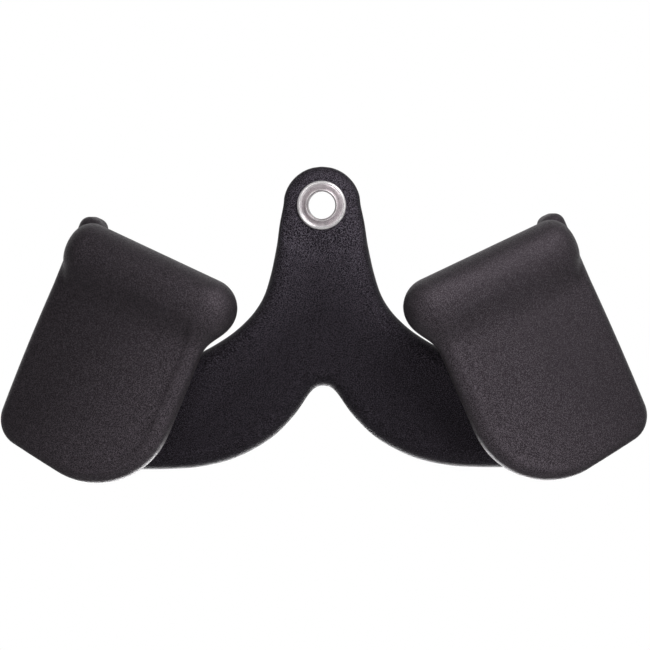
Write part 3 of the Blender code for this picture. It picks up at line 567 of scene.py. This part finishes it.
RIDGE_RADIUS = 0.0175
RIDGE_LENGTH = 0.0928
RIDGE_END_RADIUS = 0.0115
PALM_HEIGHT = 0.1194
PALM_LEAN = radians(5.7)
PALM_OVERHANG = 0.0080
PALM_INNER_RADIUS = 0.0480
PALM_OUTER_RADIUS = 0.0160
PALM_FRONT = 0.0145
PALM_BACK = 0.0025
PALM_FRONT_ROUND = 0.0056
PALM_BACK_ROUND = 0.00493
PALM_CROWN = 0.0046           # the palm falls away to both sides
PALM_FALL = 0.0022            # and a little to its top and bottom
PALM_TOP = 0.0250
HEEL_RISE = 0.0011            # a soft crest along its inner edge
HEEL_INSET = 0.0064
HEEL_WIDTH = 0.0024
HEEL_END = 0.0550             # how far out it runs, and over what it fades
HEEL_FADE = 0.0300
FRONT_BLEND = 0.0120
BACK_BLEND = 0.0110
ROOT_BLEND = 0.0060
STOP_BLEND = 0.0015
STOP_OVERHANG = 0.0036
STOP_HALVES = (0.0076, 0.0095, 0.0135)
STOP_TOP = 0.0184
STOP_FRONT = 0.0040
STOP_ROUND = 0.0064
BOSS_RADIUS = 0.0220
BOSS_START = 0.1138
LOBE_START = ARM_SKIN_SPAN + FIT_GAP
GRIP_PLACE = (0.06565, -0.0380, -0.059626)
GRIP_YAW = radians(18.0)
RIDGE_RISE = radians(24.0)
GRIP_TINT = (1.0, 0.85, 0.98)
GRIP_DEPTH = 0.56
GRIP_SHINE = 0.5
# painted light: the palms' fronts are painted paler toward their inner and lower sides
GRIP_PAINTED_LIGHT_REACH = (-0.052, 0.036)
GRIP_PAINTED_LIGHT = 0.52
GRIP_LOW = (-0.0200, -0.0215, -0.1330)
GRIP_HIGH = (0.1010, 0.0310, 0.0210)

grip_turn = np.array(Matrix.Rotation(GRIP_YAW, 3, "Z") @ Matrix.Rotation(-RIDGE_RISE, 3, "Y"))


def rounded_corner(across, over, radius):
    """Distance outside two faces that meet in a round corner."""
    a, b = across + radius, over + radius
    outside = np.hypot(np.maximum(a, 0), np.maximum(b, 0))
    return np.minimum(np.maximum(a, b), 0) + outside - radius


def palm_bottom(x):
    return -PALM_HEIGHT - (RIDGE_LENGTH - x) * tan(PALM_LEAN)


def depth_in_palm(x, z):
    """How far a point lies inside the palm's outline, negative outside it."""
    over_bottom = (z - palm_bottom(x)) * cos(PALM_LEAN)
    depth = np.minimum.reduce((x + PALM_OVERHANG, RIDGE_LENGTH - x, over_bottom))
    for outer_side, radius in ((False, PALM_INNER_RADIUS), (True, PALM_OUTER_RADIUS)):
        cx = RIDGE_LENGTH - radius if outer_side else radius - PALM_OVERHANG
        cz = palm_bottom(cx) + radius / cos(PALM_LEAN)
        along = (x - cx) * cos(PALM_LEAN) + (z - cz) * sin(PALM_LEAN)
        in_corner = (z < cz) & ((along > 0) == outer_side)
        depth = np.where(in_corner, radius - np.hypot(x - cx, z - cz), depth)
    return np.minimum(depth, -z)


def ridge_field(x, y, z):
    radius = np.hypot(y, z)
    dome = np.sqrt(x * x + radius ** 2) - RIDGE_RADIUS
    end = rounded_corner(radius - RIDGE_RADIUS, x - RIDGE_LENGTH, RIDGE_END_RADIUS)
    return np.where(x < 0, dome, end)


def palm_field(x, y, z):
    depth = depth_in_palm(x, z)
    width = RIDGE_LENGTH + PALM_OVERHANG
    across = np.clip((2 * x + 2 * PALM_OVERHANG) / width - 1, -1, 1)
    down = np.clip(2 * (-z - PALM_TOP) / (PALM_HEIGHT - PALM_TOP) - 1, -1, 1)
    fall = PALM_CROWN * across ** 2 + PALM_FALL * down ** 2
    heel = np.exp(-((depth - HEEL_INSET) / HEEL_WIDTH) ** 2)
    heel *= smoothstep((HEEL_END - x) / HEEL_FADE)
    front = -y - PALM_FRONT + fall - HEEL_RISE * heel
    return np.maximum(rounded_corner(-depth, front, PALM_FRONT_ROUND),
                      rounded_corner(-depth, y - PALM_BACK, PALM_BACK_ROUND))


def stop_field(x, y, z):
    middle = (RIDGE_LENGTH + STOP_OVERHANG - STOP_HALVES[0], STOP_FRONT + STOP_HALVES[1],
              STOP_TOP - STOP_HALVES[2])
    over = [np.abs(value - c) - h + STOP_ROUND
            for value, c, h in zip((x, y, z), middle, STOP_HALVES)]
    outside = np.sqrt(sum(np.maximum(o, 0) ** 2 for o in over))
    return outside + np.minimum(np.maximum.reduce(over), 0) - STOP_ROUND


def arm_root_field(world, palm_side):
    """The lobe round the arm's end and the block that carries the palm on it."""
    x, y, z = world.T
    from_end = np.hypot(np.maximum(x - ARM_SPAN, 0), z + ARM_DROP)
    inset = np.maximum(YOKE_RIM_RADIUS - ARM_END_RADIUS + from_end, 0) / YOKE_RIM_RADIUS
    lobe = (np.hypot(inset, y / YOKE_HALF) - 1) * YOKE_HALF
    lobe = soft_cut(lobe, LOBE_START - x, SEAM_BLEND)
    boss = np.maximum.reduce((from_end - BOSS_RADIUS, BOSS_START - x, y, palm_side))
    return soft_union(lobe, boss, ROOT_BLEND)


def grip_field(local):
    """Distance from the grip's surface, negative inside, at points of the grip's own frame."""
    x, y, z = local.T
    world = local @ grip_turn.T + np.array(GRIP_PLACE)
    at_front = smoothstep((PALM_BACK - y) / PALM_FRONT)
    at_end = smoothstep((x - RIDGE_LENGTH) / RIDGE_END_RADIUS + 1)
    blend = between(between(BACK_BLEND, FRONT_BLEND, at_front), STOP_BLEND / 4, at_end)
    body = soft_union(ridge_field(x, y, z), palm_field(x, y, z), blend)
    body = soft_union(body, stop_field(x, y, z), STOP_BLEND)
    palm_middle = (PALM_BACK - PALM_FRONT) / 2
    return soft_union(body, arm_root_field(world, palm_middle - y), ROOT_BLEND)


grip_finish = cast_polyurethane("grip polyurethane", GRIP_TINT, GRIP_DEPTH, GRIP_SHINE,
                                GRIP_PAINTED_LIGHT_REACH, GRIP_PAINTED_LIGHT)
grip_places, grip_quads = skin_of_field(grip_field, GRIP_LOW, GRIP_HIGH)
grip_places = grip_places @ grip_turn.T + np.array(GRIP_PLACE)

for hand, side in zip(hands, (-1, 1)):
    quads = grip_quads if side > 0 else grip_quads[:, ::-1]
    grip_skin = skin_piece(hand + "_grip_skin", grip_places * (side, 1, 1), quads, grip_finish)
    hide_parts(hand + "_grip_cover")
    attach(grip_skin, "root")


# Eyelet: turned and polished stainless steel. Its flange and rolled lip stand on the front
# of the tab, and its tail is rolled over a flat ring at the back.

LIP_WIDTH = 0.0015
LIP_HEIGHT = 0.0026
FLANGE_WIDTH = 0.0048
FLANGE_THICKNESS = 0.0016
TROUGH_SHARE = 0.5
TROUGH_WIDTH = 0.0019
TROUGH_RISE = 0.0001
CREST_WIDTH = 0.0012
WASHER_THICKNESS = 0.0015
EYELET_PAINTED_RINGS = (              # radius and colour, from the bore out to the rim: painted shade at the bore's edge, a painted highlight on the lip, a greyer trough and a painted highlight at the outer rim
    (0.00870, (0.22, 0.19, 0.20)),
    (0.00895, (0.92, 0.87, 0.89)),
    (0.00940, (0.92, 0.87, 0.89)),
    (0.00965, (0.60, 0.53, 0.56)),
    (0.01175, (0.66, 0.59, 0.62)),
    (0.01235, (0.95, 0.92, 0.93)),
)
TONE_SPAN = (0.0080, 0.0150)
SMUDGE_COLOUR = (0.52, 0.47, 0.49)
RUBBED_STEEL_COLOUR = (0.82, 0.78, 0.79)
TURNING_LINES = 5200.0        # per metre of radius
TURNING_DEPTH = 0.00005
TURNED_SEGMENTS = 128
SHARP_CORNER = radians(50.0)

stainless, tree, shader = new_finish("turned stainless")
parts = add_node(tree, "SeparateXYZ")
tree.links.new(own_place(tree), parts.inputs[0])
joined = add_node(tree, "CombineXYZ")
tree.links.new(parts.outputs["X"], joined.inputs["X"])
tree.links.new(parts.outputs["Z"], joined.inputs["Y"])
radius = add_node(tree, "VectorMath", operation="LENGTH")
tree.links.new(joined.outputs[0], radius.inputs[0])
turning = add_node(tree, "TexNoise", noise_dimensions="1D")
tree.links.new(radius.outputs["Value"], turning.inputs["W"])
turning.inputs["Scale"].default_value = TURNING_LINES
turning.inputs["Detail"].default_value = 2.0
smudges = use_effect(tree, mottling, Patches_per_metre=170.0).outputs["Mask"]
handled_or_painted_light = use_effect(tree, worn_edges, Reach=0.1, Break_up=400.0).outputs["Mask"]
# painted highlight and shade rings on the steel, set by radius
painted_rings = add_node(tree, "ValToRGB")
tree.links.new(ranged(tree, radius.outputs["Value"], *TONE_SPAN, 0.0, 1.0), painted_rings.inputs["Fac"])
for distance, colour in EYELET_PAINTED_RINGS:
    share = (distance - TONE_SPAN[0]) / (TONE_SPAN[1] - TONE_SPAN[0])
    stop = painted_rings.color_ramp.elements.new(share)
    stop.color = (*colour, 1.0)
painted_rings.color_ramp.elements[0].color = (*EYELET_PAINTED_RINGS[0][1], 1.0)
painted_rings.color_ramp.elements[-1].color = (*EYELET_PAINTED_RINGS[-1][1], 1.0)
smudged = calculate(tree, "MULTIPLY", smudges, 0.25)
dulled = mix_colours(tree, smudged, painted_rings.outputs["Color"], SMUDGE_COLOUR)
tree.links.new(mix_colours(tree, handled_or_painted_light, dulled, RUBBED_STEEL_COLOUR),
               shader.inputs["Base Color"])
fine_gloss = ranged(tree, turning.outputs["Fac"], 0.3, 0.7, 0.18, 0.28)
tree.links.new(calculate(tree, "MULTIPLY_ADD", smudges, 0.08, fine_gloss),
               shader.inputs["Roughness"])
shader.inputs["Metallic"].default_value = 0.6
emboss(tree, shader, turning.outputs["Fac"], 0.12, TURNING_DEPTH)


def join_mesh(name, places, faces):
    form = bmesh.new()
    verts = [form.verts.new(p) for p in places]
    for face in faces:
        corners = [verts[i] for i in dict.fromkeys(face)]
        if len(corners) > 2 and not form.faces.get(corners):
            form.faces.new(corners)
    bmesh.ops.remove_doubles(form, verts=form.verts, dist=0.00001)
    bmesh.ops.dissolve_degenerate(form, edges=form.edges, dist=0.00001)
    bmesh.ops.recalc_face_normals(form, faces=form.faces)
    mesh = bpy.data.meshes.new(name)
    form.to_mesh(mesh)
    form.free()
    mesh.shade_smooth()
    mesh.set_sharp_from_angle(angle=SHARP_CORNER)
    mesh.materials.append(stainless)
    piece = bpy.data.objects.new(name, mesh)
    bpy.context.scene.collection.objects.link(piece)
    return piece


def turned(name, profile):
    """A closed profile of (radius, place along Y) turned round the eyelet's axis."""
    count = len(profile)
    places, faces = [], []
    for i in range(TURNED_SEGMENTS):
        angle = 2 * pi * i / TURNED_SEGMENTS
        places += [(r * cos(angle), y, r * sin(angle)) for r, y in profile]
    for i in range(TURNED_SEGMENTS):
        following = (i + 1) % TURNED_SEGMENTS
        for k in range(count):
            m = (k + 1) % count
            faces.append((i * count + k, i * count + m,
                          following * count + m, following * count + k))
    return join_mesh(name, places, faces)


bore = EYELET_BORE / 2
lip = bore + LIP_WIDTH
flange = lip + FLANGE_WIDTH
seat = -TAB_HALF - FIT_GAP
trough = seat - FLANGE_THICKNESS * TROUGH_SHARE
crown = seat - FLANGE_THICKNESS
half_lip = LIP_WIDTH / 2
lip_roll = [(bore + half_lip - half_lip * cos(a), seat - LIP_HEIGHT + half_lip - half_lip * sin(a))
            for a in np.linspace(0, pi, 13)]
trough_start = lip + EYELET_WALL / 3
into_trough = [(between(lip, trough_start, s), between(lip_roll[-1][1], trough, s ** 0.5))
               for s in (0.3, 0.6, 0.85)]
trough_end = trough_start + TROUGH_WIDTH
crest = trough_end + CREST_WIDTH
dish = [(between(trough_start, trough_end, s), between(trough, trough - TROUGH_RISE, s))
        for s in np.linspace(0, 1, 4)[:-1]]
rise = [(between(trough_end, crest, s), between(dish[-1][1], crown, (1 - cos(pi * s)) / 2))
        for s in np.linspace(0, 1, 9)]
edge_face = seat - FLANGE_THICKNESS / 4
fall = [(between(crest, flange, sin(a)), between(edge_face, crown, cos(a)))
        for a in np.linspace(0, pi / 2, 10)[1:]]
barrel = bore + EYELET_WALL
roll_start = TAB_HALF + WASHER_THICKNESS + 2 * FIT_GAP
roll_end = roll_start + LIP_HEIGHT - FLANGE_THICKNESS * TROUGH_SHARE
roll_outer = lip + EYELET_WALL
roll_middle, roll_half = between(bore, roll_outer, 0.5), (roll_outer - bore) / 2
tail = [(roll_middle + roll_half * cos(a), roll_start + (roll_end - roll_start) * sin(a))
        for a in np.linspace(0, pi, 15)]
eyelet_profile = (lip_roll + into_trough + dish + rise + fall + [(flange, seat), (barrel, seat),
                  (barrel, roll_start)] + tail)
eyelet_ring = turned("eyelet_ring", eyelet_profile)
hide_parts("eyelet_barrel")
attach(eyelet_ring, "root")

washer_bore = barrel + FIT_GAP
washer_front = TAB_HALF + FIT_GAP
washer_back = washer_front + WASHER_THICKNESS
corner = EYELET_WALL / 2
soft_corner = [(flange - corner + corner * cos(a), washer_back - corner + corner * sin(a))
               for a in np.linspace(0, pi / 2, 7)]
back_ring = turned("eyelet_back_ring", [(washer_bore, washer_front), (flange, washer_front)]
                   + soft_corner + [(washer_bore, washer_back)])
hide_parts("eyelet_washer")
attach(back_ring, "root")


# Studio: a white tent with small soft lamps round the camera, most of them on the right, two
# behind for the rims, a dim room on the camera's side and a pale floor below the handle.

FLOOR_LEVEL = -0.52
FLOOR_REACH = 3.0
PAPER_TONES = ((0.86, 0.86, 0.86), (0.9, 0.9, 0.9))
FILL_STRENGTH = 0.21
ROOM_STRENGTH = 0.15          # what gloss sees in front of the handle, and behind it
SWEEP_STRENGTH = 0.85
SWEEP_REACH = (-0.1, 0.85)    # from which direction to which the one turns into the other
LAMPS = (                     # name, place, size across, power in watts
    ("high_right_lamp", (0.60, -0.50, 0.50), 0.30, 0.8),
    ("right_lamp", (0.70, -0.70, -0.05), 0.30, 0.9),
    ("low_right_lamp", (0.60, -0.50, -0.50), 0.30, 1.05),
    ("near_right_lamp", (0.24, -0.37, 0.21), 0.22, 0.61),
    ("near_top_lamp", (0.15, -0.24, 0.28), 0.12, 0.40),
    ("high_left_lamp", (-0.70, -0.80, 0.40), 0.50, 0.1),
    ("low_left_lamp", (-0.45, -1.00, -0.30), 0.40, 1.15),
    ("eyelet_lamp", (-0.10, -0.28, 0.10), 0.10, 0.11),
    ("low_back_lamp", (0.0, 0.40, -0.50), 0.50, 5.9),
    ("high_back_lamp", (0.0, 0.40, 0.50), 0.50, 0.05),
)
MIDDLE = (0.0, -0.02, -0.07)

floor_mesh = bpy.data.meshes.new("studio_floor")
corners = [(x * FLOOR_REACH, y * FLOOR_REACH, FLOOR_LEVEL)
           for x, y in ((-1, -1), (1, -1), (1, 1), (-1, 1))]
floor_mesh.from_pydata(corners, [], [(0, 1, 2, 3)])
floor = bpy.data.objects.new("studio_floor", floor_mesh)
bpy.context.scene.collection.objects.link(floor)
paper, tree, shader = new_finish("floor paper")
tone = noise(tree, own_place(tree), 3.0, 2.0)
tree.links.new(mix_colours(tree, tone, *PAPER_TONES), shader.inputs["Base Color"])
shader.inputs["Roughness"].default_value = 0.9
floor_mesh.materials.append(paper)

world = bpy.data.worlds.new("studio")
world.use_nodes = True
bpy.context.scene.world = world
tree = world.node_tree
background = tree.nodes["Background"]
background.inputs["Color"].default_value = (1.0, 1.0, 1.0, 1.0)
direction = add_node(tree, "SeparateXYZ")
tree.links.new(add_node(tree, "TexCoord").outputs["Generated"], direction.inputs[0])
room = ranged(tree, direction.outputs["Y"], *SWEEP_REACH, ROOM_STRENGTH, SWEEP_STRENGTH)
ray = add_node(tree, "LightPath")
soft_light = calculate(tree, "MULTIPLY", calculate(tree, "SUBTRACT", 1.0,
                       ray.outputs["Is Glossy Ray"]), FILL_STRENGTH)
around = calculate(tree, "MULTIPLY_ADD", ray.outputs["Is Glossy Ray"], room, soft_light)
seen = calculate(tree, "MAXIMUM", ray.outputs["Is Camera Ray"],
                 ray.outputs["Is Transmission Ray"])
tree.links.new(calculate(tree, "MAXIMUM", around, seen), background.inputs["Strength"])

for name, place, size, power in LAMPS:
    lamp_data = bpy.data.lights.new(name, "AREA")
    lamp_data.shape = "SQUARE"
    lamp_data.size = size
    lamp_data.energy = power
    lamp = bpy.data.objects.new(name, lamp_data)
    lamp.location = place
    lamp.rotation_euler = (Vector(MIDDLE) - Vector(place)).to_track_quat("-Z", "Y").to_euler()
    bpy.context.scene.collection.objects.link(lamp)


# Camera: a long lens four metres off, a little to the right of straight ahead.

CAMERA_AWAY = 4.0
CAMERA_AZIMUTH = radians(2.2)
CAMERA_HEIGHT = radians(0.5)
CAMERA_ROLL = radians(-0.412)
CAMERA_LENS = 380.0
CAMERA_SHIFT = (0.0053, 0.0002)

level = cos(CAMERA_HEIGHT)
back = Vector((sin(CAMERA_AZIMUTH) * level, -cos(CAMERA_AZIMUTH) * level, sin(CAMERA_HEIGHT)))
right = Vector((cos(CAMERA_AZIMUTH), sin(CAMERA_AZIMUTH), 0.0))
up = back.cross(right)
right, up = (right * cos(CAMERA_ROLL) + up * sin(CAMERA_ROLL),
             up * cos(CAMERA_ROLL) - right * sin(CAMERA_ROLL))
camera_data = bpy.data.cameras.new("camera")
camera_data.lens = CAMERA_LENS
camera_data.sensor_width = 36.0
camera_data.shift_x, camera_data.shift_y = CAMERA_SHIFT
camera = bpy.data.objects.new("camera", camera_data)
turn_to = Matrix((right, up, back)).transposed().to_4x4()
camera.matrix_world = Matrix.Translation(Vector(MIDDLE) + back * CAMERA_AWAY) @ turn_to
bpy.context.scene.collection.objects.link(camera)
bpy.context.scene.camera = camera
bpy.context.scene.view_settings.view_transform = "Standard"
